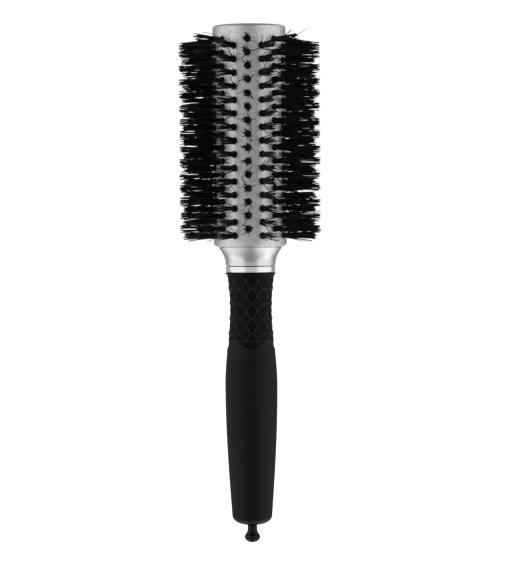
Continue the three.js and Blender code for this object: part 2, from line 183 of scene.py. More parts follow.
tube_low, tube_high = box_mm("barrel_tube")
BARREL_RADIUS = tube_high[0]
BARREL_BOTTOM = tube_low[2]
BARREL_TOP = tube_high[2]
TIP_RADIUS = -box_mm("tuft_strip_01")[0][1]
BAR_BOTTOM = box_mm("tuft_strip_01")[0][2]
BAR_TOP = box_mm("tuft_strip_01")[1][2]
FERRULE_BOTTOM = box_mm("ferrule")[0][2]
SPIGOT_TOP = box_mm("ferrule")[1][2]
FERRULE_MOUTH = BARREL_BOTTOM - PIECE_GAP
RING_BOTTOM = box_mm("trim_ring")[0][2]
RING_TOP = box_mm("trim_ring")[1][2]
HANDLE_TOP = box_mm("grip_sleeve")[1][2]
PLUG_BOTTOM = box_mm("end_plug")[0][2]
ROD_TOP = box_mm("pick_rod")[1][2]
TENON_BOTTOM = box_mm("pick_rod")[0][2]
CLIP_LOW, CLIP_HIGH = box_mm("pick_stop_clip")
GUIDE_LOW, GUIDE_HIGH = box_mm("pick_guide")


# ---- mesh helpers -----------------------------------------------------------------------
class Draft:
    """Vertices and faces of one mesh, in millimetres. Equal vertices are shared on request."""

    def __init__(self):
        self.points = []
        self.faces = []
        self.found = {}

    def add(self, point):
        self.points.append(point)
        return len(self.points) - 1

    def share(self, point):
        key = tuple(round(c, 3) for c in point)
        if key not in self.found:
            self.found[key] = self.add(point)
        return self.found[key]

    def face(self, corners):
        """Adds a face. Corners that meet in one vertex, as on the axis, count once."""
        distinct = list(dict.fromkeys(corners))
        if len(distinct) > 2:
            self.faces.append(distinct)

    def build(self, name, sharp_degrees=35):
        mesh = bpy.data.meshes.new(name)
        mesh.from_pydata([[c * MM for c in point] for point in self.points], [], self.faces)
        mesh.validate()
        for polygon in mesh.polygons:
            polygon.use_smooth = True
        mesh.set_sharp_from_angle(angle=math.radians(sharp_degrees))
        made = bpy.data.objects.new(name, mesh)
        bpy.context.scene.collection.objects.link(made)
        return made


def around(radius, angle, height):
    """Point at an angle counted from the front (-Y) towards +X."""
    return (radius * math.sin(angle), -radius * math.cos(angle), height)


def fraction_steps(count):
    return [i / count for i in range(count + 1)]


def rounded(corners):
    """Outline through (radius, height, fillet) corners, each fillet an arc. It closes on itself."""
    outline = []
    count = len(corners)
    for i, (x, y, fillet) in enumerate(corners):
        if fillet <= 0:
            outline.append((x, y))
            continue
        corner = Vector((x, y))
        before = (Vector(corners[i - 1][:2]) - corner).normalized()
        after = (Vector(corners[(i + 1) % count][:2]) - corner).normalized()
        half = before.angle(after) / 2
        start = corner + before * fillet / math.tan(half)
        end = corner + after * fillet / math.tan(half)
        centre = corner + (before + after).normalized() * fillet / math.sin(half)
        turn = math.pi - 2 * half
        steps = max(2, round(turn / FILLET_STEP))
        for t in fraction_steps(steps):
            straight = start.lerp(end, t) - centre
            outline.append(tuple(centre + straight.normalized() * fillet))
    return outline


def skin(draft, rings):
    """Faces between each two rings of the same number of vertices."""
    for low, high in zip(rings, rings[1:]):
        for i in range(len(low)):
            j = (i + 1) % len(low)
            draft.face((low[i], low[j], high[j], high[i]))


def turned_piece(name, outline, segments=TURN_SEGMENTS, closed=True):
    """Turns an outline, run up its outer side, about Z. Open ends lie on the axis."""
    draft = Draft()
    rings = []
    for radius, height in outline:
        if radius < ON_AXIS:
            rings.append([draft.add((0.0, 0.0, height))] * segments)
            continue
        angles = [2 * math.pi * i / segments for i in range(segments)]
        rings.append([draft.add(around(radius, a, height)) for a in angles])
    skin(draft, [*rings, rings[0]] if closed else rings)
    return draft.build(name)


# ---- materials --------------------------------------------------------------------------
# Colours are linear. Noise sizes and bump depths are in millimetres.
class Finish:
    """A material with a Principled shader and its patterns in object coordinates (metres)."""

    def __init__(self, name, metallic=0.0, specular=0.5):
        self.material = bpy.data.materials.new(name)
        self.material.use_nodes = True
        self.tree = self.material.node_tree
        self.shader = self.tree.nodes["Principled BSDF"]
        self.shader.inputs["Metallic"].default_value = metallic
        self.shader.inputs["Specular IOR Level"].default_value = specular
        self.position = self.tree.nodes.new("ShaderNodeTexCoord").outputs["Object"]

    def attribute(self, name):
        node = self.tree.nodes.new("ShaderNodeAttribute")
        node.attribute_name = name
        return node.outputs["Fac"]

    def stretch(self, x, y, z):
        mapping = self.tree.nodes.new("ShaderNodeMapping")
        mapping.inputs["Scale"].default_value = (x, y, z)
        self.tree.links.new(self.position, mapping.inputs["Vector"])
        return mapping.outputs["Vector"]

    def noise(self, size_mm, detail=3.0, stretch=(1, 1, 1)):
        node = self.tree.nodes.new("ShaderNodeTexNoise")
        node.inputs["Scale"].default_value = 1 / (size_mm * MM)
        node.inputs["Detail"].default_value = detail
        self.tree.links.new(self.stretch(*stretch), node.inputs["Vector"])
        return node.outputs["Fac"]

    def ramp(self, factor, low, high, start=0.3, end=0.7):
        """Colours or grey values between low and high, as factor goes from start to end."""
        node = self.tree.nodes.new("ShaderNodeValToRGB")
        for element, position, value in zip(node.color_ramp.elements, (start, end), (low, high)):
            element.position = position
            element.color = (*value, 1) if isinstance(value, tuple) else (value, value, value, 1)
        self.tree.links.new(factor, node.inputs["Fac"])
        return node.outputs["Color"]

    def set(self, socket, output):
        self.tree.links.new(output, self.shader.inputs[socket])

    def bump(self, factor, depth_mm):
        node = self.tree.nodes.new("ShaderNodeBump")
        node.inputs["Distance"].default_value = depth_mm * MM
        node.inputs["Strength"].default_value = 1.0
        self.tree.links.new(factor, node.inputs["Height"])
        self.set("Normal", node.outputs["Normal"])


def satin_aluminium():
    finish = Finish("satin_aluminium", metallic=1.0)
    grain = finish.noise(0.6, detail=1)
    finish.set("Base Color", finish.ramp(grain, (0.54, 0.54, 0.545), (0.82, 0.82, 0.825)))
    finish.set("Roughness", finish.ramp(finish.noise(2.5), 0.4, 0.47))
    finish.bump(finish.noise(0.22, detail=2), 0.006)
    return finish.material


def polished_aluminium():
    finish = Finish("polished_aluminium", metallic=1.0)
    cloud = finish.noise(6, detail=3, stretch=(1, 1, 0.4))
    finish.set("Base Color", finish.ramp(cloud, (0.75, 0.75, 0.755), (0.81, 0.81, 0.815)))
    finish.set("Roughness", finish.ramp(finish.noise(2), 0.28, 0.34))
    finish.bump(finish.noise(0.3, detail=2, stretch=(0.05, 0.05, 1)), 0.003)
    return finish.material


def turned_aluminium():
    finish = Finish("turned_aluminium", metallic=1.0)
    lines = finish.noise(0.3, detail=2, stretch=(0.04, 0.04, 1))
    finish.set("Base Color", finish.ramp(lines, (0.88, 0.88, 0.885), (0.95, 0.95, 0.955)))
    finish.set("Roughness", finish.ramp(lines, 0.24, 0.3))
    finish.bump(lines, 0.004)
    return finish.material


def soft_touch():
    """Matt black skin that has been rubbed shinier on its crests."""
    finish = Finish("soft_touch_rubber")
    finish.set("Base Color", finish.ramp(finish.noise(0.6), (0.001,) * 3, (0.006,) * 3))
    sheen = finish.ramp(finish.attribute("wear"), 0.08, 0.24, start=0, end=1)
    finish.set("Specular IOR Level", sheen)
    finish.set("Roughness", finish.ramp(finish.noise(1.2), 0.36, 0.44))
    finish.bump(finish.noise(0.25, detail=3), 0.008)
    return finish.material


def gloss_plastic():
    finish = Finish("gloss_black_plastic", specular=0.2)
    finish.set("Base Color", finish.ramp(finish.noise(3), (0.002,) * 3, (0.004,) * 3))
    finish.set("Roughness", finish.ramp(finish.noise(0.8), 0.15, 0.22))
    finish.bump(finish.noise(0.5), 0.003)
    return finish.material


def bristle_fibre():
    finish = Finish("bristle_fibre", specular=0.1)
    along = finish.noise(1.1, detail=4)
    finish.set("Base Color", finish.ramp(along, (0.005, 0.005, 0.005), (0.02, 0.0195, 0.019)))
    finish.set("Roughness", finish.ramp(finish.noise(0.6), 0.34, 0.55))
    return finish.material


def moulded_plastic():
    finish = Finish("moulded_grey_plastic", specular=0.4)
    finish.set("Base Color", finish.ramp(finish.noise(4), (0.022, 0.023, 0.025), (0.036,) * 3))
    finish.set("Roughness", finish.ramp(finish.noise(0.7), 0.5, 0.62))
    finish.bump(finish.noise(0.3), 0.01)
    return finish.material


def machined_metal(name, low, high):
    finish = Finish(name, metallic=1.0)
    lines = finish.noise(0.4, detail=2, stretch=(0.05, 0.05, 1))
    finish.set("Base Color", finish.ramp(lines, low, high))
    finish.set("Roughness", finish.ramp(lines, 0.26, 0.4))
    finish.bump(lines, 0.005)
    return finish.material


def seal_rubber():
    finish = Finish("seal_rubber", specular=0.3)
    finish.set("Base Color", finish.ramp(finish.noise(1), (0.006,) * 3, (0.012,) * 3))
    finish.set("Roughness", finish.ramp(finish.noise(0.5), 0.5, 0.65))
    finish.bump(finish.noise(0.2), 0.008)
    return finish.material


SATIN = satin_aluminium()
POLISHED = polished_aluminium()
BRIGHT = turned_aluminium()
SOFT_TOUCH = soft_touch()
GLOSS = gloss_plastic()
FIBRE = bristle_fibre()
GREY_PLASTIC = moulded_plastic()
BRASS = machined_metal("machined_brass", (0.50, 0.34, 0.13), (0.64, 0.45, 0.18))
STEEL = machined_metal("zinc_steel", (0.42, 0.43, 0.45), (0.56, 0.56, 0.57))
NITRILE = seal_rubber()


def place(piece, body, material, slot, *nodes):
    """Gives a finished piece its material and body, and hides the CAD nodes it stands for."""
    piece.data.materials.append(material)
    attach(piece, body)
    if nodes:
        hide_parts(*nodes)


# ---- barrel -----------------------------------------------------------------------------
BARREL_INSIDE = BARREL_RADIUS - BARREL_WALL
OUTER_WALL_TOP = BARREL_TOP - RIM_FILLET
OUTER_WALL_BOTTOM = BARREL_BOTTOM + CHAMFER_HEIGHT
INNER_WALL_TOP = BARREL_TOP - LIP_THICKNESS
INNER_WALL_BOTTOM = OUTER_WALL_BOTTOM + BARREL_WALL
HALF_PITCH = TUFT_PITCH / 2
HALF_CELL_ANGLE = math.pi / ROWS
COLUMN_ANGLE = 2 * HALF_CELL_ANGLE / CELL_STEPS     # between the mesh's columns


def row_angle(row):
    return 2 * math.pi * row / ROWS


def tuft_heights(row):
    """Heights of a row's tufts, from the top down. Every second row is set half a pitch lower."""
    top = TOP_TUFT - (row % 2) * TUFT_PITCH / 2
    return [top - i * TUFT_PITCH for i in range(TUFTS_PER_ROW)]


def cell_edge():
    """Points round a square (-1..1), counted from its lower left corner."""
    sides = [(-1, -1, 1, 0), (1, -1, 0, 1), (1, 1, -1, 0), (-1, 1, 0, -1)]
    points = []
    for x, y, dx, dy in sides:
        for i in range(CELL_STEPS):
            t = 2 * i / CELL_STEPS
            points.append((x + dx * t, y + dy * t))
    return points


def barrel_cell(draft, row, height):
    """One tuft's cell of the barrel's wall, inside and out, with its round bevelled hole."""
    edge = cell_edge()

    def ring(radius, hole, spread):
        """A ring of vertices between a round hole (spread 0) and the cell's edge (spread 1)."""
        ids = []
        for x, y in edge:
            length = math.hypot(x, y)
            across = (1 - spread) * hole * x / length + spread * HALF_CELL_ANGLE * BARREL_RADIUS * x
            up = (1 - spread) * hole * y / length + spread * HALF_PITCH * y
            angle = row_angle(row) + across / BARREL_RADIUS
            ids.append(draft.share(around(radius, angle, height + up)))
        return ids

    outer = [ring(BARREL_RADIUS, 0, 1)]
    for spread in RING_SPREADS:
        outer.append(ring(BARREL_RADIUS, HOLE_RADIUS + HOLE_BEVEL, spread))
    bevel = ring(BARREL_RADIUS - HOLE_BEVEL, HOLE_RADIUS, 0)
    throat = ring(BARREL_INSIDE, HOLE_RADIUS, 0)
    rear = ring(BARREL_INSIDE, 0, 1)
    skin(draft, [*outer, bevel, throat, rear])


def plain_wall(draft, row, radius, heights, outward):
    """A stretch of wall as wide as a row's cells, through the given heights."""
    for i in range(CELL_STEPS):
        left = row_angle(row) - HALF_CELL_ANGLE + i * COLUMN_ANGLE
        right = left + COLUMN_ANGLE
        for low, high in zip(heights, heights[1:]):
            corners = [
                draft.share(around(radius, left, low)),
                draft.share(around(radius, right, low)),
                draft.share(around(radius, right, high)),
                draft.share(around(radius, left, high)),
            ]
            draft.face(corners if outward else corners[::-1])


def barrel_ends(draft, row):
    """Plain wall above and below a row's cells, on the same grid of heights."""
    step = TUFT_PITCH / CELL_STEPS
    heights = tuft_heights(row)
    top_edge = heights[0] + HALF_PITCH
    bottom_edge = heights[-1] - HALF_PITCH
    even_top = TOP_TUFT + HALF_PITCH
    even_bottom = TOP_TUFT - (TUFTS_PER_ROW - 0.5) * TUFT_PITCH
    above = [top_edge + i * step for i in range(round((even_top - top_edge) / step) + 1)]
    lowest = even_bottom - HALF_PITCH
    below = [lowest + i * step for i in range(round((bottom_edge - lowest) / step) + 1)]
    plain_wall(draft, row, BARREL_RADIUS, [*above, OUTER_WALL_TOP], outward=True)
    plain_wall(draft, row, BARREL_INSIDE, [*above, INNER_WALL_TOP], outward=False)
    plain_wall(draft, row, BARREL_RADIUS, [OUTER_WALL_BOTTOM, *below], outward=True)
    plain_wall(draft, row, BARREL_INSIDE, [INNER_WALL_BOTTOM, *below], outward=False)


def barrel_rim(draft, outline):
    """Turns an outline on the cells' own columns, so that it meets the walls."""
    rings = []
    for radius, height in outline:
        angles = [-HALF_CELL_ANGLE + i * COLUMN_ANGLE for i in range(ROWS * CELL_STEPS)]
        rings.append([draft.share(around(radius, a, height)) for a in angles])
    skin(draft, rings)


def barrel():
    """Round tube with round bevelled holes, a rolled rim at the top and a chamfer below."""
    draft = Draft()
    for row in range(ROWS):
        for height in tuft_heights(row):
            barrel_cell(draft, row, height)
    for row in range(ROWS):
        barrel_ends(draft, row)
    fillet = [
        (
            BARREL_RADIUS - RIM_FILLET * (1 - math.cos(t * math.pi / 2)),
            BARREL_TOP - RIM_FILLET * (1 - math.sin(t * math.pi / 2)),
        )
        for t in fraction_steps(8)
    ]
    barrel_rim(draft, [
        *fillet,
        (LIP_RADIUS + RIM_EDGE, BARREL_TOP),
        (LIP_RADIUS, BARREL_TOP - RIM_EDGE),
        (LIP_RADIUS, INNER_WALL_TOP),
        (BARREL_INSIDE, INNER_WALL_TOP),
    ])
    barrel_rim(draft, [
        (BARREL_INSIDE, INNER_WALL_BOTTOM),
        (LIP_RADIUS, BARREL_BOTTOM + LIP_THICKNESS),
        (LIP_RADIUS, BARREL_BOTTOM),
        (CHAMFER_RADIUS - RIM_EDGE, BARREL_BOTTOM),
        (CHAMFER_RADIUS + RIM_EDGE, BARREL_BOTTOM + 0.5 * RIM_EDGE),
        (BARREL_RADIUS - RIM_EDGE, OUTER_WALL_BOTTOM - RIM_EDGE),
        (BARREL_RADIUS, OUTER_WALL_BOTTOM),
    ])
    return draft.build("barrel")


# ---- bristles ---------------------------------------------------------------------------
GOLDEN_ANGLE = math.pi * (3 - math.sqrt(5))     # turns a spiral that fills a disc evenly


def sideways(distance, angle):
    """A vector across a tuft that points to the front."""
    return Vector((distance * math.cos(angle), 0, distance * math.sin(angle)))


def bristle(draft, path, radius):
    """A slim tapered fibre along a path of points that leads to the front."""
    rings = []
    for i, centre in enumerate(path):
        t = i / (len(path) - 1)
        width = radius * (1 - BRISTLE_TAPER * t ** 3)
        angles = [2 * math.pi * corner / BRISTLE_SIDES for corner in range(BRISTLE_SIDES)]
        rings.append([draft.add(tuple(centre + sideways(1, a) * width)) for a in angles])
    draft.face(rings[0][::-1])
    skin(draft, rings)
    draft.face(rings[-1])


def bristle_path(root, tip, bow):
    """Points from root to tip, bowed sideways half-way along."""
    points = []
    for t in fraction_steps(BRISTLE_STEPS):
        points.append(root.lerp(tip, t) + bow * (t * t - t))
    return points


def in_disc(rng, radius):
    """A random sideways offset within a disc, as a vector across a tuft."""
    distance = radius * math.sqrt(rng.random())
    return sideways(distance, rng.uniform(0, 2 * math.pi))


def tuft_plug(draft, height):
    """Round domed root of a tuft, where it fills its hole in the barrel."""
    radius = HOLE_RADIUS - PLUG_CLEARANCE
    outline = [(0.0, BAR_OUTSIDE - PLUG_SUNK), (radius, BAR_OUTSIDE - PLUG_SUNK)]
    for t in fraction_steps(5):
        angle = t * math.pi / 2
        outline.append((radius * math.cos(angle), BARREL_RADIUS + PLUG_DOME * math.sin(angle)))
    rings = []
    for across, distance in outline:
        if across < ON_AXIS:
            rings.append([draft.add((0.0, -distance, height))] * PLUG_SEGMENTS)
            continue
        ids = []
        for i in range(PLUG_SEGMENTS):
            angle = 2 * math.pi * i / PLUG_SEGMENTS
            x = across * math.cos(angle)
            z = across * math.sin(angle)
            ids.append(draft.add((x, -distance, height + z)))
        rings.append(ids)
    skin(draft, rings)


def bristle_locks(rng):
    """Sideways reach, length and bow of the locks that a tuft's fine bristles gather in."""
    locks = []
    for i in range(LOCKS_PER_TUFT):
        share = math.sqrt((i + 0.3) / LOCKS_PER_TUFT)
        distance = TIP_SPREAD * share * rng.uniform(*LOCK_DISTANCE_SHARE)
        if rng.random() < OUTER_LOCK_SHARE:
            distance *= OUTER_LOCK_REACH
        across = sideways(distance, i * GOLDEN_ANGLE + rng.uniform(-LOCK_TURN, LOCK_TURN))
        reach = TIP_RADIUS - BOAR_SHORTFALL - abs(rng.gauss(0, LOCK_SHORTFALL))
        locks.append((across, reach, in_disc(rng, LOCK_BOW)))
    return locks


def fine_bristles(draft, base, lean, rng):
    """Short fine bristles, gathered in locks."""
    locks = bristle_locks(rng)
    for i in range(BOAR_PER_TUFT):
        across, reach, bow = locks[i % LOCKS_PER_TUFT]
        root = across * (ROOT_SPREAD / TIP_SPREAD) + in_disc(rng, BOAR_ROOT_OFFSET)
        tip = across + lean + in_disc(rng, LOCK_SPREAD)
        tip.y = BARREL_RADIUS - reach + rng.uniform(0, BOAR_TIP_SHORTFALL)
        path = bristle_path(base + root, base + tip, bow)
        bristle(draft, path, BOAR_RADIUS * rng.uniform(*BOAR_RADIUS_SHARE))


def stiff_bristles(draft, base, lean, rng):
    """Long stiff bristles, spread evenly."""
    for i in range(NYLON_PER_TUFT):
        distance = ROOT_SPREAD * math.sqrt((i + 0.5) / NYLON_PER_TUFT)
        root = sideways(distance, i * GOLDEN_ANGLE + rng.uniform(-NYLON_TURN, NYLON_TURN))
        tip = root * (TIP_SPREAD / ROOT_SPREAD) + lean + in_disc(rng, NYLON_TIP_OFFSET)
        tip.y = BARREL_RADIUS - TIP_RADIUS + abs(rng.gauss(0, NYLON_SHORTFALL))
        path = bristle_path(base + root, base + tip, in_disc(rng, NYLON_BOW))
        bristle(draft, path, NYLON_RADIUS)


def stray(draft, base, rng):
    """A short bristle, stiff or fine, that leans well out of its tuft."""
    lean = in_disc(rng, 1.0).normalized()
    length = rng.uniform(*STRAY_LENGTH)
    tip = lean * (length * rng.uniform(*STRAY_LEAN_SHARE))
    tip.y = -length
    path = bristle_path(base + lean * ROOT_SPREAD, base + tip, in_disc(rng, STRAY_BOW))
    bristle(draft, path, rng.choice((NYLON_RADIUS, BOAR_RADIUS, BOAR_RADIUS)))


def tuft(draft, height, rng, combed):
    """One tuft that points to the front. Its bristles lean together and are combed downwards."""
    tuft_plug(draft, height)
    base = Vector((0, -BARREL_RADIUS, height))
    lean = in_disc(rng, TUFT_LEAN) + Vector((0, 0, -combed))
    fine_bristles(draft, base, lean, rng)
    stiff_bristles(draft, base, lean, rng)
    for _ in range(rng.randint(*STRAYS_PER_TUFT)):
        stray(draft, base, rng)


def carrier_bar(draft):
    """The strip inside the barrel that holds the row's tufts."""
    half = BAR_WIDTH / 2
    flat = half - BAR_EDGE
    near = BAR_OUTSIDE
    far = BAR_OUTSIDE - BAR_THICKNESS
    section = [
        (-half, far + BAR_EDGE), (-flat, far), (flat, far), (half, far + BAR_EDGE),
        (half, near - BAR_EDGE), (flat, near), (-flat, near), (-half, near - BAR_EDGE),
    ]
    ends = []
    for height in (BAR_BOTTOM, BAR_TOP):
        ends.append([draft.add((x, -distance, height)) for x, distance in section])
    low, high = ends
    draft.face(low)
    draft.face(high[::-1])
    for i in range(len(section)):
        j = (i + 1) % len(section)
        draft.face((low[j], low[i], high[i], high[j]))


def bristle_row(row):
    """A row of tufts on its carrier strip, made at the front and turned to its place."""
    rng = random.Random(FIRST_SEED + row)
    draft = Draft()
    carrier_bar(draft)
    for i, height in enumerate(tuft_heights(row)):
        combed = COMBED_DOWN if i == 0 and row in SIDE_ROWS else 0.0
        tuft(draft, height, rng, combed)
    made = draft.build(f"bristle_row_{row + 1:02d}")
    made.data.transform(Matrix.Rotation(row_angle(row), 4, "Z"))
    return made


# ---- ferrule, ring and end cap ----------------------------------------------------------
def flare_height(t):
    return FERRULE_BOTTOM + t * (FERRULE_MOUTH - FERRULE_BOTTOM)


def flare_radius(t):
    return FERRULE_NECK_RADIUS + (FERRULE_MOUTH_RADIUS - FERRULE_NECK_RADIUS) * t ** FLARE_POWER


def ferrule():
    """Flared neck under the barrel, with the spigot that enters it."""
    bore = SPIGOT_RADIUS - FERRULE_WALL
    flare = [(flare_radius(t), flare_height(t)) for t in fraction_steps(28)[1:]]
    inner = [
        (min(bore, flare_radius(1 - t) - FERRULE_WALL), flare_height(1 - t))
        for t in fraction_steps(10)
    ]
    edge = [(0.2, 0), (0.06, 0.05), (0, 0.18)]      # inward and up, rounds the neck's edge
    return turned_piece("ferrule_flare", [
        *[(FERRULE_NECK_RADIUS - inward, FERRULE_BOTTOM + up) for inward, up in edge],
        *flare,
        (SPIGOT_RADIUS, FERRULE_MOUTH),
        (SPIGOT_RADIUS, SPIGOT_TOP),
        (bore, SPIGOT_TOP),
        *inner,
    ])


def trim_ring():
    """Bright turned ring with rounded edges."""
    return turned_piece("neck_ring", rounded([
        (TANG_CLEARANCE_RADIUS, RING_BOTTOM, 0),
        (RING_RADIUS, RING_BOTTOM, 0.15),
        (RING_RADIUS, RING_TOP, 0.2),
        (TANG_CLEARANCE_RADIUS, RING_TOP, 0),
    ]))


def end_cap():
    """Cap flush with the barrel's rim, with a shallow dish and a snap skirt below."""
    rim_radius = LIP_RADIUS - 0.25
    rim_width = 2.2
    skirt_outside = box_mm("spreader_core")[1][0] - 2.4
    skirt_inside = skirt_outside - 1.2
    disc_bottom = BARREL_TOP - 2.3
    dish_radius = rim_radius - 3.0
    dish = [(dish_radius, 0.7), (4.0, 0.62), (0.0, 0.6)]        # radius and depth, domed a little
    outline = [(0.0, disc_bottom)] + rounded([
        (skirt_inside, disc_bottom, 0.3),
        (skirt_inside, PLUG_BOTTOM, 0.3),
        (skirt_outside, PLUG_BOTTOM, 0.3),
        (skirt_outside, disc_bottom, 0),
        (rim_radius, disc_bottom, 0.2),
        (rim_radius, BARREL_TOP, 0.4),
        (rim_radius - rim_width, BARREL_TOP, 0.3),
        (dish_radius, BARREL_TOP - dish[0][1], 0.3),
    ]) + [(radius, BARREL_TOP - depth) for radius, depth in dish[1:]]
    return turned_piece("end_cap", outline, closed=False)


# ---- handle -----------------------------------------------------------------------------
FACET_BOTTOM = FACET_TOP - FACET_ROWS * FACET_HEIGHT


def handle_radius(height):
    """Outer radius of the handle: a rounded end, a belly, a waist and a mouth."""
    if height < END_HEIGHT:
        depth = (END_HEIGHT - height) / (END_HEIGHT - HANDLE_BOTTOM)
        return END_RADIUS * (1 - depth ** END_POWER) ** (1 / END_POWER)
    if height < BELLY_HEIGHT:
        t = (height - END_HEIGHT) / (BELLY_HEIGHT - END_HEIGHT)
        return END_RADIUS + (BELLY_RADIUS - END_RADIUS) * math.sin(t * math.pi / 2)
    if height < WAIST_HEIGHT:
        t = (height - BELLY_HEIGHT) / (WAIST_HEIGHT - BELLY_HEIGHT)
        return WAIST_RADIUS + (BELLY_RADIUS - WAIST_RADIUS) * (1 + math.cos(t * math.pi)) / 2
    t = (height - WAIST_HEIGHT) / (MOUTH_HEIGHT - WAIST_HEIGHT)
    return WAIST_RADIUS + (MOUTH_RADIUS - WAIST_RADIUS) * (1 - math.cos(t * math.pi / 2))


def eased(t):
    t = min(1.0, max(0.0, t))
    return t * t * (3 - 2 * t)


def dishes(across, down):
    """Depth and wear of round dishes centred on the triangles of a regular tiling.

    across counts facets round the grip and down counts rows of facets from its top. Every
    dish reaches its triangle's corners, so the deeper ones bulge into the shallower ones.
    """
    corner_distance = 1 / math.sqrt(3)
    row_height = math.sqrt(3) / 2
    depths = []
    for line in range(math.floor(down) - 1, math.floor(down) + 2):
        for base, centre_down in ((line, line + 1 / 3), (line + 1, line + 2 / 3)):
            offset = 0.5 + 0.5 * (base % 2)
            beside = across - offset - round(across - offset)
            below = (down - centre_down) * row_height
            share = 1 - (beside ** 2 + below ** 2) / corner_distance ** 2
            depths.append(share * (DEEP_DISH if base % 2 else SHALLOW_DISH))
    second, deepest = sorted(depths)[-2:]
    from_crest = eased((deepest - second) / (CREST_SHARE * DEEP_DISH))
    from_edge = eased((FACET_ROWS - down) * FACET_HEIGHT / PATTERN_EDGE)
    depth = deepest + CREST_HEIGHT * from_crest - CREST_PROUD
    return depth * from_edge, 1 - from_crest * from_edge


def skirt(angle, below):
    """Depth and wear of the long dishes that end the pattern, their points downwards."""
    phase = (angle - FACET_TURN) * SKIRT_WAVES / (2 * math.pi)
    from_point = abs(phase - round(phase)) * 2
    length = (1 - from_point) * SKIRT_HEIGHT
    room = length - below
    if room <= -SKIRT_RIM:
        return 0.0, PLAIN_WEAR
    if room <= 0:
        raised = math.sin(math.pi * -room / SKIRT_RIM)
        return -SKIRT_RIM_HEIGHT * raised, 1.0
    from_crest = eased(min(room, below) / (2 * SKIRT_RIM))
    return SKIRT_DISH * from_crest, 1 - from_crest


def relief(angle, height):
    """Depth and wear of the grip's relief at a point."""
    down = (FACET_TOP - height) / FACET_HEIGHT
    if down >= FACET_ROWS:
        return skirt(angle, (down - FACET_ROWS) * FACET_HEIGHT)
    return dishes((angle - FACET_TURN) * FACET_COLUMNS / (2 * math.pi), down)


def grip_heights():
    """Heights of the grip's outer mesh rings: its rounded end, its plain part and its relief.

    The relief's rings start two steps below its top, which lies just above the mouth.
    """
    end = [SLEEVE_END + (END_HEIGHT - SLEEVE_END) * t ** 2 for t in fraction_steps(16)[1:]]
    step = FACET_HEIGHT / GRIP_STEPS_PER_FACET
    fine_count = math.ceil((MOUTH_HEIGHT - FACET_BOTTOM + SKIRT_HEIGHT + SKIRT_MARGIN) / step)
    fine = [FACET_TOP - (i + 2) * step for i in range(fine_count)][::-1]
    plain_count = round((fine[0] - END_HEIGHT) / PLAIN_STEP)
    plain = [END_HEIGHT + (fine[0] - END_HEIGHT) * t for t in fraction_steps(plain_count)[1:-1]]
    return end, plain, fine


def grip():
    """Soft-touch skin of the handle, with the faceted relief on its upper part."""
    draft = Draft()
    rings = []
    wears = []

    def ring(radius, height, shaped=False):
        ids = []
        for i in range(GRIP_SEGMENTS):
            angle = FACET_TURN + 2 * math.pi * i / GRIP_SEGMENTS
            depth, wear = relief(angle, height) if shaped else (0.0, PLAIN_WEAR)
            ids.append(draft.add(around(radius - depth, angle, height)))
            wears.append(wear)
        rings.append(ids)

    # Up the bush's pocket, the outside and the lip, then down the inside.
    ring(GUIDE_POCKET, SLEEVE_FLOOR)
    for outward, height in POCKET_EDGE:
        ring(GUIDE_POCKET + outward, height)
    end, plain, fine = grip_heights()
    for height in [*end, *plain]:
        ring(handle_radius(height), height)
    for height in fine:
        ring(handle_radius(height), height, shaped=True)
    ring(handle_radius(MOUTH_HEIGHT), MOUTH_HEIGHT)
    ring(LIP_OUTSIDE - LIP_EDGE, LIP_BOTTOM)
    ring(LIP_OUTSIDE, LIP_BOTTOM + LIP_EDGE)
    ring(LIP_OUTSIDE, HANDLE_TOP - LIP_EDGE)
    ring(LIP_OUTSIDE - LIP_EDGE, HANDLE_TOP)
    ring(handle_radius(MOUTH_HEIGHT) - SLEEVE_WALL, HANDLE_TOP)
    height = HANDLE_TOP - 1
    while height > END_HEIGHT:
        ring(handle_radius(height) - SLEEVE_WALL, height)
        height -= INNER_STEP
    for height in (END_HEIGHT, SLEEVE_FLOOR):
        ring(handle_radius(height) - SLEEVE_WALL, height)
    skin(draft, [*rings, rings[0]])
    made = draft.build("handle_grip", sharp_degrees=60)
    made.data.attributes.new("wear", "FLOAT", "POINT").data.foreach_set("value", wears)
    return made


# ---- pick -------------------------------------------------------------------------------
def knob():
    """Rounded knob that flares up into a slim neck, with a socket for the rod's end."""
    first_angle = math.asin(KNOB_HEIGHT / KNOB_DEPTH)
    last_angle = -0.3           # a little past the knob's widest point
    body = []
    for t in fraction_steps(18):
        angle = first_angle + (last_angle - first_angle) * t
        body.append((KNOB_RADIUS * math.cos(angle), KNOB_HEIGHT - KNOB_DEPTH * math.sin(angle)))
    edge = Vector(body[-1])
    control = Vector((NECK_RADIUS, edge.y + 1.2))       # draws the flare's curve inwards
    neck = Vector((NECK_RADIUS, NECK_BOTTOM))
    flare = []
    for t in fraction_steps(12)[1:]:
        point = edge * (1 - t) ** 2 + control * (2 * t * (1 - t)) + neck * t ** 2
        flare.append(tuple(point))
    neck_top = GUIDE_LOW[2] - PIECE_GAP
    bevel = 0.2
    socket = TENON_RADIUS + 0.1
    socket_bottom = TENON_BOTTOM - PIECE_GAP
    return turned_piece("pick_end_knob", [
        (0.0, 0.0),
        *body,
        *flare,
        (NECK_RADIUS, neck_top - bevel),
        (NECK_RADIUS - bevel, neck_top),
        (socket, neck_top),
        (socket, socket_bottom),
        (0.0, socket_bottom),
    ], segments=FINE_TURN_SEGMENTS, closed=False)


